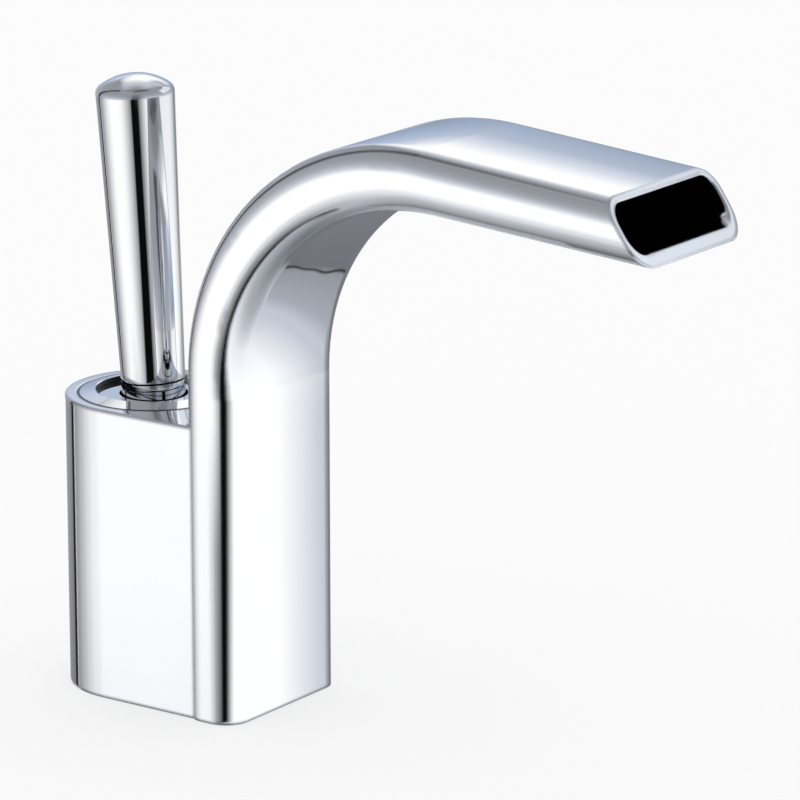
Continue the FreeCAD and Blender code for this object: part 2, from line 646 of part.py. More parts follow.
def makeCarrier():
    """Carrier of the moving disc: round plate, drive pins, and the sliding block with the arm's socket."""
    plateTop = f"{carrierSeat} + carrier_plate"
    body = turned("disc_carrier", [("0", carrierSeat), ("carrier_radius", carrierSeat),
                                   ("carrier_radius", plateTop), ("0", plateTop)],
                  depth=f"{pivotY} - disc_shift")
    block = newSketch(body, "slider_plan", "XY_Plane", plateTop)
    addOutline(block, [("0 - slider_half_width", "0 - slider_length / 2"),
                       ("slider_half_width", "0 - slider_length / 2"),
                       ("slider_half_width", "slider_length / 2"), ("0 - slider_half_width", "slider_length / 2")])
    addPad(body, "slider", block, "slider_height")
    pins = newSketch(body, "drive_pins_plan", "XY_Plane", f"{carrierSeat} - carrier_pin_length")
    for across in ("carrier_pin_spread", "0 - carrier_pin_spread"):
        addCircle(pins, across, "0", "carrier_pin_radius")
    addPad(body, "drive_pins", pins, "carrier_pin_length")
    boreHoles(body, "arm_socket", [("0", f"disc_shift - {carrierHoleFront}")], "arm_end_radius + arm_gap",
              "pivot_height - arm_length - arm_end_radius - arm_gap", f"{plateTop} + slider_height")
    return body


def makeGuide():
    """Turning guide: a channel below for the carrier's block and a slot for the arm."""
    top = f"{guideSeat} + guide_height"
    channelTop = f"{guideSeat} + slider_height + slide_gap"
    body = turned("stem_guide", [("0", guideSeat), ("guide_radius", guideSeat), ("guide_radius", top), ("0", top)])
    channel = newSketch(body, "channel_plan", "XY_Plane", channelTop)
    half = "slider_half_width + slide_gap"
    addOutline(channel, [(f"0 - ({half})", "0 - guide_radius"), (half, "0 - guide_radius"),
                         (half, "guide_radius"), (f"0 - ({half})", "guide_radius")])
    addPocket(body, "channel", channel, f"{channelTop} - ({guideSeat})")
    slot = newSketch(body, "arm_slot_plan", "XY_Plane", top)
    half = "arm_end_radius + slide_gap"
    addOutline(slot, [(f"0 - ({half})", "0 - guide_slot_front"), (half, "0 - guide_slot_front"),
                      (half, "guide_slot_back"), (f"0 - ({half})", "guide_slot_back")])
    addPocket(body, "arm_slot", slot, f"{top} - ({channelTop})")
    return body


def makeShell():
    """Cartridge shell: a cup over the discs, with the tower that holds the ball on top."""
    roof = "shell_top - shell_roof"
    throat = "pivot_height - throat_drop"
    seat = f"{throat} + throat_land"
    towerTop = "pivot_height + tower_rise"
    return turned("cartridge_shell", [
        (shellInner, footTop), ("cartridge_radius", footTop), ("cartridge_radius", "shell_top"),
        ("tower_radius", "shell_top"), ("tower_radius", towerTop), (ballHollow, towerTop), (ballHollow, seat),
        ("tower_throat_radius", seat), ("tower_throat_radius", throat), ("tower_mouth_radius", roof),
        (shellInner, roof),
    ])


def makeBallSeat():
    """PTFE ring in the tower, hollowed to the ball."""
    low = "pivot_height - throat_drop + throat_land"
    outer = f"{ballHollow} - push_gap"
    contact = f"sqrt(({ballHollow})^2 - ball_seat_hole^2)"
    edge = f"sqrt(({ballHollow})^2 - ({outer})^2)"
    return turned("ball_seat", [
        ("ball_seat_hole", low), (outer, low), (outer, f"pivot_height - {edge} - ball_seat_height / 2"),
        ("ball_seat_hole", f"pivot_height - {contact}"),
    ])


def makeBallCap():
    """Cap over the ball: round outside for the collar, round inside for the ball."""
    low, top = "tower_rise", "cap_top"
    innerLow, innerTop = f"sqrt(({ballHollow})^2 - {low}^2)", f"sqrt(({ballHollow})^2 - {top}^2)"
    outerLow, outerTop = "tower_radius", f"sqrt(cap_outer_radius^2 - {top}^2)"
    shoulder = "sqrt(cap_outer_radius^2 - tower_radius^2)"
    return turned("ball_retainer", [
        (innerLow, low), (outerLow, low), (outerLow, shoulder), (outerTop, top), (innerTop, top),
    ], {2: ("cap_outer_radius", 1), 4: (ballHollow, -1)}, height="pivot_height")


def makeStem():
    """Steel stem in one piece: ball, stem above, arm below with its round end."""
    ball = doc.addObject("Part::Sphere", "stem_ball")
    bind(ball, "Radius", "ball_radius")
    rod = doc.addObject("Part::Cylinder", "stem_rod")
    bind(rod, "Radius", "stem_radius")
    bind(rod, "Height", "stem_length")
    arm = doc.addObject("Part::Cylinder", "stem_arm")
    bind(arm, "Radius", "arm_radius")
    bind(arm, "Height", "arm_length")
    bind(arm, "Placement.Base.z", "0 - arm_length")
    tip = doc.addObject("Part::Sphere", "stem_arm_end")
    bind(tip, "Radius", "arm_end_radius")
    bind(tip, "Placement.Base.z", "0 - arm_length")
    stem = doc.addObject("Part::MultiFuse", "ball_stem")
    stem.Shapes = [ball, rod, arm, tip]
    stem.Label = "ball_stem"
    return leanBack(stem)


def makeWasher():
    """Slip washer under the nut."""
    return turned("slip_washer", [("washer_hole_radius", washerSeat), ("cartridge_radius", washerSeat),
                                  ("cartridge_radius", nutSeat), ("washer_hole_radius", nutSeat)])


def makeNut():
    """Brass nut over the cartridge, with wrench slots in its top."""
    outer = "nut_bore_radius - thread_gap"
    thread, top = f"{nutSeat} + nut_thread_height", f"{nutSeat} + nut_height"
    body = turned("clamping_nut", [("nut_hole_radius", nutSeat), (outer, nutSeat), (outer, thread),
                                   ("nut_top_radius", thread), ("nut_top_radius", top), ("nut_hole_radius", top)])
    slot = newSketch(body, "wrench_slot_plan", "XY_Plane", top)
    addOutline(slot, [("nut_hole_radius - 1", "0 - nut_slot_width / 2"),
                      ("nut_top_radius - 2", "0 - nut_slot_width / 2"),
                      ("nut_top_radius - 2", "nut_slot_width / 2"), ("nut_hole_radius - 1", "nut_slot_width / 2")])
    cut = addPocket(body, "wrench_slot", slot, "nut_slot_depth")
    pattern = body.newObject("PartDesign::PolarPattern", "wrench_slots")
    pattern.Originals = [cut]
    pattern.Axis = (slot, ["N_Axis"])
    pattern.Angle = 360
    bind(pattern, "Occurrences", "nut_slot_count")
    body.Tip = pattern
    doc.recompute()
    return body


def makePlate():
    """Chromed trim plate on the nut, round the lever's collar."""
    radius, top = "nut_top_radius", f"{plateSeat} + plate_height"
    return turned("trim_plate", [("plate_hole_radius", plateSeat), (radius, plateSeat), (radius, top),
                                 ("plate_hole_radius", top)])


def makeBonnetRing():
    """Dress ring: a skirt in the housing's bore and a roof that rises to the lip."""
    outer = "bonnet_bore_radius - slide_gap"
    skirt = "nut_top_radius + slide_gap"
    low = "housing_height - bonnet_bore_depth + face_gap"
    seal = "housing_height - ring_seal_drop"
    half = "ring_seal_wire / 2 + seal_gap"
    groove = "bonnet_bore_radius - ring_seal_wire - seal_gap"
    return turned("bonnet_ring", [
        (skirt, low), (outer, low), (outer, f"{seal} - ({half})"), (groove, f"{seal} - ({half})"),
        (groove, f"{seal} + {half}"), (outer, f"{seal} + {half}"), (outer, "housing_height - face_gap"),
        ("ring_lip_radius + 0.35", "housing_height + ring_lip_rise"),
        ("ring_lip_radius", "housing_height + ring_lip_rise - 0.15"), ("ring_lip_radius", ringRoof),
        (skirt, ringRoof),
    ])


def makeCollar():
    """Chromed collar round the ball's cap: flared below, a turned line, a neck inside the lever."""
    low, web = "0 - collar_drop", "collar_web_rise"
    line, depth = "line_rise", "line_depth"
    top = "collar_rise - joint_line"
    return leanBack(turned("lever_collar", [
        ("collar_flare_radius", low), ("collar_radius", low), ("collar_radius", f"{line} - {depth} / 2"),
        (f"collar_radius - {depth}", line), ("collar_radius", f"{line} + {depth} / 2"), ("collar_radius", top),
        ("collar_neck_radius", top), ("collar_neck_radius", "collar_rise + collar_neck_height"),
        ("collar_hole_radius", "collar_rise + collar_neck_height"), ("collar_hole_radius", web),
        ("collar_bore_radius - 1.4", web), ("collar_bore_radius", f"{web} - 1.4"),
        ("collar_bore_radius", "0 - collar_flare_drop"),
    ]))


def makeSleeve():
    """Plastic sleeve between stem and lever, with a hole for the grub screw."""
    low = "collar_rise + collar_neck_height + joint_line"
    top = f"{low} + sleeve_length"
    hole = "stem_radius + push_gap"
    outer = "sleeve_radius - push_gap"
    body = turned("stem_sleeve", [(hole, low), (outer, low), (outer, top), (hole, top)])
    side = newSketch(body, "screw_hole_end", "XZ_Plane")
    addCircle(side, "0", "screw_height", "screw_radius + peg_gap")
    addPocket(body, "screw_hole", side, "sleeve_radius + 1")
    return leanBack(body)


def makeLever():
    """Solid lever: a cone that widens to a round top, bored for neck, sleeve and grub screw."""
    low = "collar_rise"
    neckTop = f"{low} + collar_neck_height + joint_line"
    boreTop = f"{neckTop} + sleeve_length + joint_line"
    dome = "lever_top - dome_height"
    # where the dome runs into the rounding of its edge
    share = "dome_radius / (dome_radius - dome_edge_radius)"
    meetRadius = f"(lever_head_radius - dome_edge_radius) * {share}"
    meetHeight = f"lever_top - dome_radius + (dome_radius - dome_height) * {share}"
    body = turned("lever", [
        ("collar_neck_radius + push_gap", low), ("lever_foot_radius - lever_foot_break", low),
        ("lever_foot_radius", f"{low} + lever_foot_break"), ("lever_head_radius", dome),
        (meetRadius, meetHeight), ("0", "lever_top"),
        ("0", boreTop), ("sleeve_radius", boreTop), ("sleeve_radius", neckTop),
        ("collar_neck_radius + push_gap", neckTop),
    ], {3: ("dome_edge_radius", 1), 4: ("dome_radius", 1)})
    side = newSketch(body, "screw_thread_end", "XZ_Plane")
    addCircle(side, "0", "screw_height", "screw_radius + thread_gap")
    addPocket(body, "screw_thread", side, "lever_head_radius")
    return leanBack(body)


def makeGrubScrew():
    """Grub screw at the lever's back, tightened on the stem."""
    near = "stem_radius + push_gap"
    far = f"{near} + screw_length"
    body = newBody("grub_screw")
    section = newSketch(body, "screw_section", "YZ_Plane")
    addOutline(section, [
        (near, "screw_height"), (near, "screw_height + screw_radius"), (far, "screw_height + screw_radius"),
        (far, "screw_height + key_radius"), (f"{far} - key_depth", "screw_height + key_radius"),
        (f"{far} - key_depth", "screw_height"),
    ])
    spin = body.newObject("PartDesign::Revolution", "screw_turned")
    spin.Profile = section
    spin.ReferenceAxis = (section, ["Edge6"])
    spin.Angle = 360
    doc.recompute()
    return leanBack(body)


parts = [
    makeCasting(),
    makeGasket(),
    makePlug(),
    rubberRing("core_plug_seal", "plug_radius + plug_seal_wire / 2 + seal_gap", "plug_seal_wire - 2 * seal_gap",
               "plug_rise + plug_head_height + plug_seal_wire / 2", depth=plugY),
    makeFoot(),
    portRings("port_seals", "port_seal_radius", "outlet_radius", "seat_height", "port_seal_height"),
    portRings("disc_seals", "port_seal_radius", "outlet_radius", f"{discSeat} - disc_seal_height",
              "disc_seal_height"),
    rubberRing("cartridge_o_ring", "chamber_radius - cartridge_seal_wire / 2 - seal_gap", "cartridge_seal_wire",
               "seat_height + cartridge_seal_height"),
    makeFixedDisc(),
    makeMovingDisc(),
    makeCarrier(),
    makeGuide(),
    makeShell(),
    makeBallSeat(),
    makeStem(),
    makeBallCap(),
    makeWasher(),
    makeNut(),
    makePlate(),
    makeBonnetRing(),
    rubberRing("bonnet_o_ring", "bonnet_bore_radius - ring_seal_wire / 2 - seal_gap", "ring_seal_wire",
               "housing_height - ring_seal_drop"),
    makeCollar(),
    makeSleeve(),
    makeLever(),
    makeGrubScrew(),
]

doc.recompute()
for thing in doc.Objects:
    if "Invalid" in thing.State or "Error" in thing.State:
        raise RuntimeError(f"{thing.Name} failed: {thing.State}")
for part in parts:
    if part.Shape.isNull() or not part.Shape.isValid():
        raise RuntimeError(f"{part.Label} has no valid shape")

os.makedirs("parts", exist_ok=True)
for part in parts:
    part.Shape.exportStep(f"parts/{part.Label}.step")
    box = part.Shape.BoundBox
    print(f"{part.Label}: {len(part.Shape.Solids)} solid(s), {part.Shape.Volume:.1f} mm3, "
          f"z {box.ZMin:.2f} to {box.ZMax:.2f}")
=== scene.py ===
import math

import bpy
import numpy as np
from mathutils import Matrix, Vector

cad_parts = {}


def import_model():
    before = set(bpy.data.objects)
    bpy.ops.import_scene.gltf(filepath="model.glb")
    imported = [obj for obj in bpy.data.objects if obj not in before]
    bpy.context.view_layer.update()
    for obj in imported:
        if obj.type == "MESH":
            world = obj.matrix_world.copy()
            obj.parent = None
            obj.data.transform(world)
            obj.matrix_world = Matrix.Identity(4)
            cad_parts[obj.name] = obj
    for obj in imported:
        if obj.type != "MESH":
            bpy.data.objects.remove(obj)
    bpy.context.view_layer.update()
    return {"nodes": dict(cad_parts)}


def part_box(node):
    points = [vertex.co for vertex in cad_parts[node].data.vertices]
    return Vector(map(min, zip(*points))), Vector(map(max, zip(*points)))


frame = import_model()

scene = bpy.context.scene
scene.view_settings.view_transform = "Standard"
nodes = frame["nodes"]
print("frame loaded:", len(nodes), "nodes")

cameraValues = {
    "azimuth": -54.418,      # degrees round the tap, 0 looks along +Y
    "elevation": 15.186,
    "roll": -0.070,
    "distance": 1.3528,      # metres from the target
    "target": (0.0, -0.0753, 0.0905),
    "lens": 234.6,           # millimetres
    "sensor": 36,            # millimetres
    "clip": (0.05, 50),      # metres
}


def addCamera(v):
    # back points from the target to the camera; right and up are turned by the roll about it
    a, e, r = (math.radians(v[k]) for k in ("azimuth", "elevation", "roll"))
    back = Vector((math.sin(a) * math.cos(e), -math.cos(a) * math.cos(e), math.sin(e)))
    flat = Vector((math.cos(a), math.sin(a), 0))
    rise = back.cross(flat)
    right = flat * math.cos(r) + rise * math.sin(r)
    up = rise * math.cos(r) - flat * math.sin(r)
    cam = bpy.data.objects.new("camera", bpy.data.cameras.new("camera"))
    scene.collection.objects.link(cam)
    turn = Matrix((right, up, back)).transposed().to_4x4()
    cam.matrix_world = Matrix.Translation(Vector(v["target"]) + back * v["distance"]) @ turn
    cam.data.lens = v["lens"]
    cam.data.sensor_width = v["sensor"]
    cam.data.clip_start, cam.data.clip_end = v["clip"]
    scene.camera = cam


addCamera(cameraValues)
print("camera set")


def newObject(name, points, faces, smooth=True):
    mesh = bpy.data.meshes.new(name)
    mesh.from_pydata(points.reshape(-1, 3).tolist(), [], faces.tolist())
    mesh.polygons.foreach_set("use_smooth", np.full(len(mesh.polygons), smooth))
    mesh.update()
    piece = bpy.data.objects.new(name, mesh)
    scene.collection.objects.link(piece)
    return piece


def gridFaces(rows, columns, closed=False):
    # four corners of each cell; a closed grid joins its last column to its first
    i = np.arange(rows - 1)[:, None]
    j = np.arange(columns if closed else columns - 1)[None, :]
    k = (j + 1) % columns
    quad = np.stack([i * columns + j, i * columns + k, (i + 1) * columns + k, (i + 1) * columns + j], -1)
    return quad.reshape(-1, 4)


class NodeTree:
    # short ways to add nodes and join them
    def __init__(self, owner):
        owner.use_nodes = True
        self.tree = owner.node_tree
        self.tree.nodes.clear()

    def add(self, kind, **fields):
        # in_Some_Name sets the socket "Some Name", any other field the node's own setting
        node = self.tree.nodes.new(kind)
        for key, entry in fields.items():
            if key.startswith("in_"):
                node.inputs[key[3:].replace("_", " ")].default_value = entry
            else:
                setattr(node, key, entry)
        return node

    def join(self, start, finish):
        self.tree.links.new(start, finish)

    def put(self, entry, socket):
        # a socket is joined, a number or colour is written
        if isinstance(entry, bpy.types.NodeSocket):
            self.join(entry, socket)
        else:
            socket.default_value = entry

    def math(self, operation, *entries):
        node = self.add("ShaderNodeMath", operation=operation)
        for entry, socket in zip(entries, node.inputs):
            self.put(entry, socket)
        return node.outputs[0]

    def spread(self, factor, first, last, low=0.0, high=1.0, soft=False):
        # first to last becomes low to high, in a line or a soft step
        node = self.add("ShaderNodeMapRange", interpolation_type="SMOOTHSTEP" if soft else "LINEAR",
                        in_From_Min=first, in_From_Max=last, in_To_Min=low, in_To_Max=high)
        self.join(factor, node.inputs["Value"])
        return node.outputs["Result"]

    def mix(self, factor, first, second):
        node = self.add("ShaderNodeMix", data_type="RGBA")
        for entry, socket in ((factor, "Factor"), (first, "A"), (second, "B")):
            self.put(entry, node.inputs[socket])
        return node.outputs["Result"]

    def parts(self, vector):
        node = self.add("ShaderNodeSeparateXYZ")
        self.join(vector, node.inputs["Vector"])
        return node.outputs

    def noise(self, where, scale, detail=0.0, roughness=0.5):
        node = self.add("ShaderNodeTexNoise", in_Scale=scale, in_Detail=detail, in_Roughness=roughness)
        self.join(where, node.inputs["Vector"])
        return node.outputs["Fac"]

    def bump(self, height, distance, below=None):
        node = self.add("ShaderNodeBump", in_Strength=1.0, in_Distance=distance)
        self.join(height, node.inputs["Height"])
        if below is not None:
            self.join(below, node.inputs["Normal"])
        return node.outputs["Normal"]

    def ramp(self, factor, stops):
        # stops are (place, level or colour)
        node = self.add("ShaderNodeValToRGB")
        self.join(factor, node.inputs["Fac"])
        for _ in range(len(stops) - 2):
            node.color_ramp.elements.new(0.5)
        for element, (place, level) in zip(node.color_ramp.elements, stops):
            element.position = place
            element.color = (*level, 1) if isinstance(level, tuple) else (level, level, level, 1)
        return node.outputs["Color"]

    def show(self, shader, kind="ShaderNodeOutputMaterial"):
        self.join(shader, self.add(kind).inputs["Surface"])

    def principled(self, colour, metallic, roughness, normal):
        shader = self.add("ShaderNodeBsdfPrincipled", in_Metallic=metallic)
        for entry, socket in ((colour, "Base Color"), (roughness, "Roughness"), (normal, "Normal")):
            self.join(entry, shader.inputs[socket])
        self.show(shader.outputs["BSDF"])


chromeValues = {
    "tint": (0.965, 0.972, 0.985),
    "filmTint": 0.97,             # the tint times this under a full film of handling
    "roughness": (0.02, 0.05),    # clean plating, and the duller film
    "filmSize": 38.0,             # patches of film per metre
    "filmDetail": (3.0, 0.6),     # finer layers in the film's noise, and the strength of each beside the last
    "filmSpread": (0.35, 0.75),   # noise at which the film's roughness starts and is full
    "waviness": 0.00003,          # height of the polished casting's slow waves, metres
    "turnedWaviness": 0.25,       # share of it on turned pieces
    "wavesPerMetre": 22.0,
    "scratchHeight": 0.0000002,
    "scratchesPerMetre": 1800.0,
    "scratchDetail": 2.0,
    "scratchSquash": 0.12,        # the scratches' pattern is pulled out along Z by one over this
    "crown": 2.6,                 # fall of the casting's broad faces: this times x squared, metres
    "edgeRadius": 0.0014,         # how far the polishing wheel has rounded the casting's edges, metres
    "edgeSamples": 6,
    "seamShadeReach": 0.0026,          # how far from a joint its painted shade reaches, metres
    "seamShadeOpen": (0.30, 0.76),     # open share of the view at which the painted shade is full and gone
    "seamSamples": 8,
    # colour of the painted shade in joints
    "seamShadeColour": (0.02, 0.02, 0.022),
    "wallShadeReach": 0.007,           # reach and open shares for the painted shade on the dress ring's inner wall
    "wallShadeOpen": (0.75, 1.0),
    "wallFade": 0.003,            # it fades out this far before and behind the ring's middle, metres
    "rimShadeWidth": 0.0007,           # width of the painted dark shade line round the dress ring, metres
}


def openShare(t, reach, ends, samples):
    # 0 where what lies within reach hides the view, 1 in the open
    near = t.add("ShaderNodeAmbientOcclusion", samples=samples, in_Distance=reach)
    return t.spread(near.outputs["AO"], *ends, soft=True)


def ringShadeShare(t, v, where, centre, radius):
    # 0 where shade is painted, on the back half of the dress ring's inner wall and in a line round its rim; 1
    # elsewhere
    wall = openShare(t, v["wallShadeReach"], v["wallShadeOpen"], v["seamSamples"])
    level = t.math("ABSOLUTE", t.parts(t.add("ShaderNodeNewGeometry").outputs["Normal"])["Z"])
    front = t.spread(t.parts(where)["Y"], centre[1] - v["wallFade"], centre[1] + v["wallFade"], 1.0, 0.0)
    flat = t.add("ShaderNodeVectorMath", operation="MULTIPLY")
    flat.inputs[1].default_value = (1.0, 1.0, 0.0)
    t.join(where, flat.inputs[0])
    away = t.add("ShaderNodeVectorMath", operation="DISTANCE")
    away.inputs[1].default_value = (*centre, 0.0)
    t.join(flat.outputs["Vector"], away.inputs[0])
    rim = t.spread(away.outputs["Value"], radius - v["rimShadeWidth"], radius - v["rimShadeWidth"] / 2, 1.0, 0.0)
    return t.math("MINIMUM", t.math("MAXIMUM", t.math("MAXIMUM", wall, level), front), rim)


def chrome(name, v, cast=False, ring=None):
    # polished plating: a thin film of handling, slow waves, fine scratches, and painted shade in joints;
    # a casting also has softened edges and crowned faces, and a ring (its centre and radius) painted shade on
    # its inner wall and rim
    material = bpy.data.materials.new(name)
    t = NodeTree(material)
    where = t.add("ShaderNodeTexCoord").outputs["Object"]
    film = t.noise(where, v["filmSize"], *v["filmDetail"])
    rough = t.spread(film, *v["filmSpread"], *v["roughness"])
    tint = t.mix(film, (*v["tint"], 1), (*[c * v["filmTint"] for c in v["tint"]], 1))
    # painted shade: the colour darkens where nearby parts hide the view, as in joints
    unshadedShare = openShare(t, v["seamShadeReach"], v["seamShadeOpen"], v["seamSamples"])
    if ring:
        unshadedShare = t.math("MINIMUM", unshadedShare, ringShadeShare(t, v, where, *ring))
    colour = t.mix(unshadedShare, (*v["seamShadeColour"], 1), tint)
    waves = t.noise(where, v["wavesPerMetre"])
    if cast:
        worn = t.add("ShaderNodeBevel", samples=v["edgeSamples"], in_Radius=v["edgeRadius"])
        normal = t.bump(waves, v["waviness"], worn.outputs["Normal"])
        # the broad faces fall away from the middle line as the square of the distance from it
        x = t.parts(where)["X"]
        normal = t.bump(t.math("MULTIPLY", t.math("MULTIPLY", x, x), -v["crown"]), 1.0, normal)
    else:
        normal = t.bump(waves, v["waviness"] * v["turnedWaviness"])
    drawn = t.add("ShaderNodeMapping")
    drawn.inputs["Scale"].default_value = (1.0, 1.0, v["scratchSquash"])
    t.join(where, drawn.inputs["Vector"])
    marks = t.noise(drawn.outputs["Vector"], v["scratchesPerMetre"], v["scratchDetail"])
    t.principled(colour, 1.0, rough, t.bump(marks, v["scratchHeight"], normal))
    return material


finishes = {
    # colour, second colour, metallic, roughness from and to, grains per metre, bump in metres
    "brass": ((0.76, 0.58, 0.29), (0.66, 0.49, 0.23), 1.0, (0.22, 0.38), 900.0, 0.00001),
    "steel": ((0.60, 0.60, 0.61), (0.52, 0.52, 0.53), 1.0, (0.18, 0.32), 1400.0, 0.000006),
    "alumina": ((0.90, 0.89, 0.85), (0.84, 0.83, 0.79), 0.0, (0.30, 0.42), 1600.0, 0.000005),
    "acetal": ((0.86, 0.86, 0.84), (0.80, 0.80, 0.78), 0.0, (0.38, 0.52), 700.0, 0.00001),
    "nylon": ((0.36, 0.37, 0.39), (0.30, 0.31, 0.33), 0.0, (0.45, 0.60), 800.0, 0.000015),
    "ptfe": ((0.92, 0.92, 0.91), (0.88, 0.88, 0.87), 0.0, (0.42, 0.55), 500.0, 0.00001),
    "rubber": ((0.035, 0.035, 0.037), (0.06, 0.06, 0.062), 0.0, (0.55, 0.75), 1100.0, 0.00002),
}
grainValues = {
    "detail": (4.0, 0.55),       # finer layers in the grain, and the strength of each beside the last
    "spread": (0.3, 0.7),        # noise at which a plain finish has its first and its last roughness
}


def plainFinish(name, first, second, metallic, roughness, grains, height):
    # two near colours mixed by a fine noise, which also drives roughness and bump
    material = bpy.data.materials.new(name)
    t = NodeTree(material)
    where = t.add("ShaderNodeTexCoord").outputs["Object"]
    grain = t.noise(where, grains, *grainValues["detail"])
    colour = t.mix(grain, (*first, 1), (*second, 1))
    rough = t.spread(grain, *grainValues["spread"], *roughness)
    t.principled(colour, metallic, rough, t.bump(grain, height))
    return material


castChrome = chrome("castChrome", chromeValues, cast=True)
turnedChrome = chrome("turnedChrome", chromeValues)
ringLow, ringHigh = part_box("bonnet_ring")
ringCentre = [(low + high) / 2 for low, high in zip(ringLow[:2], ringHigh[:2])]
# the dress ring's chrome also has painted shade on the back of its inner wall and round its rim
ringChrome = chrome("ringChrome", chromeValues, ring=(ringCentre, (ringHigh[0] - ringLow[0]) / 2))
plain = {name: plainFinish(name, *values) for name, values in finishes.items()}

nodeFinish = {
    "body_casting": castChrome,
    "bonnet_ring": ringChrome,
    "trim_plate": turnedChrome,
    "ball_retainer": turnedChrome,
    "lever_collar": turnedChrome,
    "lever": turnedChrome,
    "core_plug": plain["brass"],
    "clamping_nut": plain["brass"],
    "ball_stem": plain["steel"],
    "grub_screw": plain["steel"],
    "fixed_disc": plain["alumina"],
    "moving_disc": plain["alumina"],
    "cartridge_base": plain["acetal"],
    "cartridge_shell": plain["acetal"],
    "disc_carrier": plain["nylon"],
    "stem_guide": plain["nylon"],
    "stem_sleeve": plain["nylon"],
    "ball_seat": plain["ptfe"],
    "slip_washer": plain["ptfe"],
    "core_plug_seal": plain["rubber"],
    "base_gasket": plain["rubber"],
    "port_seals": plain["rubber"],
    "cartridge_o_ring": plain["rubber"],
    "disc_seals": plain["rubber"],
    "bonnet_o_ring": plain["rubber"],
}
for name, finish in nodeFinish.items():
    node = nodes[name]
    node.data.materials.clear()
    node.data.materials.append(finish)
print("finishes set")

# the studio: a white room that metal sees, with graded cards round it
roomValues = {
    "fill": 0.95,            # light that the room gives to dull surfaces
    "redLoss": 0.9,          # share of its blueness by which a level's red falls
    "blueGain": 1.6,         # and by which its blue rises
    # sine of the height angle, level and blueness: dim ceiling, white walls, greyer floor
    "levels": [
        (-1.00, 0.46, 0.08), (-0.98, 0.52, 0.07), (-0.93, 0.58, 0.06), (-0.86, 0.66, 0.05),
        (-0.79, 0.69, 0.05), (-0.71, 0.78, 0.04), (-0.64, 0.87, 0.04), (-0.57, 0.95, 0.03),
        (-0.35, 1.02, 0.01), (-0.22, 1.03, 0.0), (-0.13, 0.90, 0.03), (0.00, 0.78, 0.05),
        (0.19, 0.68, 0.06), (0.41, 0.62, 0.06), (0.74, 0.58, 0.05), (0.90, 0.62, 0.05),
        (1.00, 0.50, 0.04),
    ],
}


def shown(level, blueness):
    # a display level made linear by the screen's own curve, then turned bluer
    linear = ((level + 0.055) / 1.055) ** 2.4
    return (linear * (1 - roomValues["redLoss"] * blueness), linear,
            linear * (1 + roomValues["blueGain"] * blueness))


def world(v):
    # white to the camera, an even fill for dull surfaces, and for metal a room graded by height
    made = bpy.data.worlds.new("studio")
    scene.world = made
    t = NodeTree(made)
    path = t.add("ShaderNodeLightPath").outputs
    shiny = t.math("MAXIMUM", path["Is Glossy Ray"], path["Is Transmission Ray"])
    height = t.parts(t.add("ShaderNodeTexCoord").outputs["Generated"])["Z"]
    levels = [((z + 1) / 2, shown(level, blue)) for z, level, blue in v["levels"]]
    room = t.ramp(t.spread(height, -1.0, 1.0), levels)
    even = t.spread(path["Is Camera Ray"], 0.0, 1.0, v["fill"], 1.0)
    light = t.add("ShaderNodeBackground")
    t.join(t.mix(shiny, even, room), light.inputs["Color"])
    t.show(light.outputs["Background"], "ShaderNodeOutputWorld")


floorValues = {
    "radii": (0.0, 0.3, 0.8, 2.0, 6.0),     # metres
    "spokes": 96,
    "drop": 0.0002,          # below the base, metres
    "colour": 0.95,
    "glow": 0.68,            # share of the floor that stays white under a shadow, for the camera alone
}


def floor(v):
    # a flat disc in rings and spokes, just under the base
    radii = np.array(v["radii"])[:, None]
    turn = np.linspace(0, 2 * np.pi, v["spokes"], endpoint=False)[None, :]
    points = np.stack([radii * np.cos(turn), radii * np.sin(turn), 0 * radii * turn - v["drop"]], -1)
    piece = newObject("floor", points, gridFaces(len(radii), v["spokes"], closed=True))
    material = bpy.data.materials.new("floor")
    t = NodeTree(material)
    both = t.add("ShaderNodeMixShader")
    seen = t.add("ShaderNodeLightPath").outputs["Is Camera Ray"]
    t.join(t.math("MULTIPLY", seen, v["glow"]), both.inputs["Fac"])
    body = t.add("ShaderNodeBsdfDiffuse", in_Color=(*[v["colour"]] * 3, 1))
    t.join(body.outputs["BSDF"], both.inputs[1])
    t.join(t.add("ShaderNodeEmission", in_Strength=1.0).outputs["Emission"], both.inputs[2])
    t.show(both.outputs["Shader"])
    piece.data.materials.append(material)
    piece.visible_glossy = False       # the room's lower half is what metal shows there


cardValues = {
    "distance": 2.6,         # metres from the tap
    "centre": 0.09,          # height of the ring of cards, metres
    "grid": (65, 49),        # points up and across
    "sway": ((1.0, 0.55, 0.0), (0.5, 1.3, 1.0)),     # size, radians per degree of height, and start
}
softEnds = ((0.0, 0.0), (0.15, 1.0), (0.85, 1.0), (1.0, 0.0))
allOver = ((0.0, 1.0), (1.0, 1.0))
black = [(0.0, 0.04, 0.05), (1.0, 0.05, 0.05)]
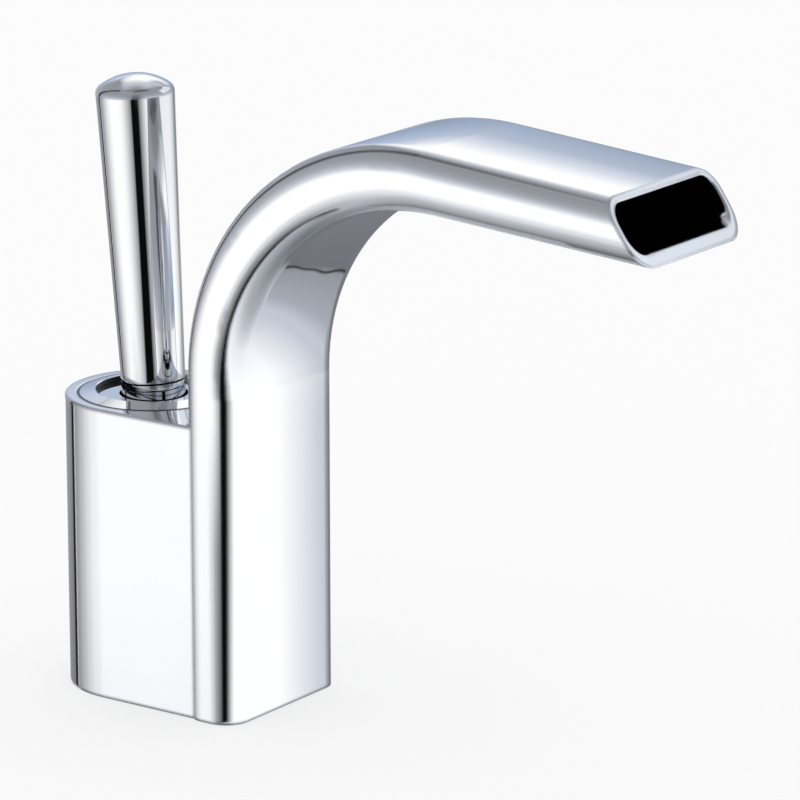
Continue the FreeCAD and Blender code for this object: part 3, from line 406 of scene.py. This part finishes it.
# Each card is a patch of a sphere round the tap. Its rows are (height angle, first and last azimuth) in
# degrees, evenly spaced from its first row to its last. Its colours are (place, level, blueness) across
# it, or along it where it says upward. Across and along say how much it hides of what is behind it.
# Nearer is in metres, and wave sways its sides by that many degrees.
cards = {
    "darkStrip": {
        "rows": [(60, -62, -22), (36, -62, -22), (10, -62, -22), (-8, -64, -20), (-12, -68, -18),
            (-15, -76, -17), (-17, -77, -21), (-19, -79, -26), (-21, -81, -32), (-23, -83, -38),
            (-26, -87, -49), (-31, -93, -66), (-37, -98, -74), (-45, -108, -86), (-52, -123, -104),
            (-58, -127, -110), (-64, -127, -110)],
        "colours": black,
        "across": ((0.0, 0.0), (0.06, 1.0), (0.44, 1.0), (0.5, 0.82), (0.62, 0.63), (0.79, 0.33),
            (0.93, 0.08), (1.0, 0.0)),
        "along": ((0.0, 0.0), (0.12, 0.7), (0.2, 1.0), (0.87, 1.0), (1.0, 0.0)),
        "nearer": 0.2,
    },
    "darkStripEdge": {
        "rows": [(50, -102, -60), (10, -102, -60), (-10, -104, -60), (-16, -116, -67), (-20, -124, -74),
            (-25, -126, -82), (-30, -126, -86), (-37, -126, -87), (-45, -128, -95), (-50, -130, -104)],
        "colours": [(0.0, 0.5, 0.03), (1.0, 0.34, 0.03)],
        "across": ((0.0, 0.0), (0.3, 0.12), (0.7, 0.6), (1.0, 1.0)),
        "along": ((0.0, 0.0), (0.2, 1.0), (0.85, 1.0), (1.0, 0.0)),
        "nearer": 0.1,
    },
    "lowStripEdge": {
        "rows": [(-15.5, -130, -68), (-19, -128, -74), (-23, -128, -80), (-30, -128, -87), (-40, -128, -89),
            (-48, -130, -97)],
        "colours": [(0.0, 0.52, 0.03), (1.0, 0.36, 0.03)],
        "across": ((0.0, 0.0), (0.25, 0.4), (0.5, 0.75), (1.0, 1.0)),
        "along": ((0.0, 0.0), (0.12, 0.8), (0.85, 1.0), (1.0, 0.0)),
        "nearer": 0.12,
    },
    "lowLeftShade": {
        "rows": [(-18, -200, -118), (-28, -200, -118), (-40, -200, -118), (-66, -200, -118)],
        "colours": [(0.0, 0.34, 0.04), (0.4, 0.5, 0.04), (0.62, 0.64, 0.04), (1.0, 0.78, 0.04)],
        "across": ((0.0, 1.0), (0.85, 0.8), (1.0, 0.0)),
        "along": ((0.0, 0.0), (0.25, 0.6), (0.6, 1.0), (1.0, 1.0)),
    },
    "backStrip": {
        "rows": [(67, -179, -138), (61, -178, -140), (54, -177, -146), (47, -177, -156), (30, -180, -160),
            (10, -181, -168), (-10, -181, -172), (-30, -181, -172)],
        "colours": [(0.0, 0.3, 0.06), (0.55, 0.26, 0.06), (0.8, 0.1, 0.05), (1.0, 0.08, 0.05)],
        "across": ((0.0, 0.0), (0.12, 1.0), (0.7, 1.0), (1.0, 0.0)),
        "along": ((0.0, 0.0), (0.12, 0.95), (0.3, 0.85), (0.6, 0.9), (0.8, 1.0), (1.0, 1.0)),
        "nearer": 0.2,
        "upward": True,
    },
    "backStripEdge": {
        "rows": [(40, -172, -126), (10, -172, -126), (-10, -172, -126), (-30, -172, -126)],
        "colours": [(0.0, 0.557, 0.05), (1.0, 0.557, 0.05)],
        "across": ((0.0, 1.0), (0.13, 0.88), (0.24, 0.74), (0.35, 0.64), (0.5, 0.45), (0.74, 0.2),
            (1.0, 0.0)),
        "along": ((0.0, 0.0), (0.3, 0.6), (0.6, 1.0), (1.0, 1.0)),
        "nearer": 0.1,
    },
    "backShade": {
        "rows": [(20, 146, 180), (-8, 146, 180), (-12, 146, 180), (-30, 146, 180)],
        "colours": [(0.0, 0.5, 0.06), (1.0, 0.42, 0.06)],
        "across": ((0.0, 0.0), (0.25, 0.9), (1.0, 1.0)),
        "along": ((0.0, 0.0), (0.4, 0.8), (1.0, 1.0)),
    },
    "topShade": {
        "rows": [(32, 92, 150), (10, 92, 150), (-12, 92, 150)],
        "colours": [(0.0, 0.84, 0.1), (0.27, 0.8, 0.13), (0.5, 0.72, 0.2), (0.85, 0.64, 0.2),
            (1.0, 0.64, 0.16)],
        "across": softEnds,
        "along": ((0.0, 1.0), (0.85, 1.0), (1.0, 0.0)),
        "upward": True,
    },
    "topGlow": {
        "rows": [(74, 92, 172), (64, 92, 170), (54, 92, 162), (46, 92, 150), (37, 92, 148), (28, 92, 146)],
        "colours": [(0.0, 0.8, 0.06), (1.0, 0.76, 0.06)],
        "across": softEnds,
        "along": ((0.0, 0.0), (0.25, 1.0), (0.7, 0.9), (1.0, 0.0)),
        "nearer": 0.05,
    },
    "topBox": {
        "rows": [(60, 108, 156), (50, 108, 152), (40, 108, 148), (33, 107, 143), (27, 106, 134),
            (17, 106, 130)],
        "colours": [(0.0, 1.02, 0.0), (1.0, 1.02, 0.0)],
        "across": ((0.0, 0.0), (0.2, 1.0), (0.65, 1.0), (0.82, 0.6), (1.0, 0.0)),
        "along": ((0.0, 0.0), (0.3, 1.0), (0.82, 1.0), (0.91, 0.35), (1.0, 0.0)),
        "nearer": 0.1,
    },
    "ceilingShade": {
        "rows": [(88, -80, 60), (76, -80, 60), (58, -80, 60)],
        "colours": [(0.0, 0.36, 0.05), (1.0, 0.34, 0.05)],
        "across": softEnds,
        "along": ((0.0, 0.6), (0.5, 1.0), (1.0, 0.0)),
    },
    "rightShade": {
        "rows": [(25, 58, 126), (5, 58, 126), (-10, 58, 126), (-22, 58, 126)],
        "colours": [(0.0, 0.52, 0.07), (1.0, 0.52, 0.07)],
        "across": ((0.0, 0.0), (0.25, 0.35), (0.5, 0.95), (0.7, 0.95), (1.0, 0.0)),
        "along": ((0.0, 0.0), (0.4, 0.9), (0.7, 1.0), (1.0, 0.0)),
        "nearer": 0.05,
    },
    "sideBox": {
        "rows": [(44, 34, 92), (30, 34, 92), (12, 34, 92)],
        "colours": [(0.0, 0.93, 0.06), (1.0, 0.87, 0.06)],
        "across": softEnds,
        "along": softEnds,
        "nearer": 0.15,
    },
    "underShade": {
        "rows": [(-12.5, 50, 132), (-28, 50, 132), (-42, 50, 132), (-57, 50, 132)],
        "colours": [(0.0, 0.8, 0.06), (0.2, 0.8, 0.07), (0.27, 0.68, 0.07), (0.47, 0.6, 0.06),
            (0.512, 0.46, 0.06), (1.0, 0.5, 0.07)],
        "across": ((0.0, 0.0), (0.17, 1.0), (1.0, 1.0)),
        "along": ((0.0, 0.3), (0.06, 1.0), (0.8, 1.0), (1.0, 0.0)),
    },
    "underDark": {
        "rows": [(-40, 88, 160), (-50, 84, 160), (-58, 68, 160), (-68, 50, 160), (-78, 30, 160)],
        "colours": [(0.0, 0.44, 0.06), (1.0, 0.47, 0.06)],
        "across": ((0.0, 0.0), (0.12, 1.0), (0.7, 1.0), (1.0, 0.0)),
        "along": ((0.0, 0.0), (0.25, 0.9), (0.8, 1.0), (1.0, 0.2)),
        "nearer": 0.05,
    },
    "underSeam": {
        "rows": [(-31, 89.2, 91.0), (-38, 88.9, 90.8), (-47, 89.0, 91.0)],
        "colours": [(0.0, 0.12, 0.05), (1.0, 0.12, 0.05)],
        "across": ((0.0, 0.0), (0.35, 1.0), (0.65, 1.0), (1.0, 0.0)),
        "nearer": 0.1,
        "wave": 0.9,
    },
}


def card(name, rows, colours, across=allOver, along=allOver, nearer=0.0, wave=0.0, upward=False):
    # a point is the direction of its height angle and azimuth times the distance; the azimuth goes evenly
    # from the first to the last of its row
    v = cardValues
    up, wide = v["grid"]
    rows = np.array(rows, float)
    height, first, last = (np.interp(np.linspace(0, 1, up), np.linspace(0, 1, len(rows)), column)[:, None]
                           for column in rows.T)
    e = np.radians(height)
    sway = wave * sum(size * np.sin(height * turn + start) for size, turn, start in v["sway"])
    a = np.radians(first + sway) + np.radians(last - first) * np.linspace(0, 1, wide)[None, :]
    points = np.stack([np.sin(a) * np.cos(e), -np.cos(a) * np.cos(e), np.sin(e) + 0 * a], -1)
    points *= v["distance"] - nearer
    points[..., 2] += v["centre"]
    piece = newObject(name, points, gridFaces(up, wide))
    layer = piece.data.uv_layers.new(name="spread")
    loops = np.zeros(len(piece.data.loops), np.int64)
    piece.data.loops.foreach_get("vertex_index", loops)
    uv = np.stack([(loops % wide) / (wide - 1), (loops // wide) / (up - 1)], -1)
    layer.data.foreach_set("uv", uv.ravel())
    material = bpy.data.materials.new(name)
    t = NodeTree(material)
    place = t.parts(t.add("ShaderNodeUVMap", uv_map="spread").outputs["UV"])
    cover = t.math("MULTIPLY", t.ramp(place["X"], across), t.ramp(place["Y"], along))
    levels = [(p, shown(level, blue)) for p, level, blue in colours]
    glow = t.add("ShaderNodeEmission", in_Strength=1.0)
    t.join(t.ramp(place["Y" if upward else "X"], levels), glow.inputs["Color"])
    both = t.add("ShaderNodeMixShader")
    t.join(cover, both.inputs["Fac"])
    t.join(t.add("ShaderNodeBsdfTransparent").outputs["BSDF"], both.inputs[1])
    t.join(glow.outputs["Emission"], both.inputs[2])
    t.show(both.outputs["Shader"])
    piece.data.materials.append(material)
    piece.visible_camera = piece.visible_diffuse = piece.visible_shadow = False


world(roomValues)
floor(floorValues)
for name, values in cards.items():
    card(name, **values)
print("studio set:", len(cards), "cards")
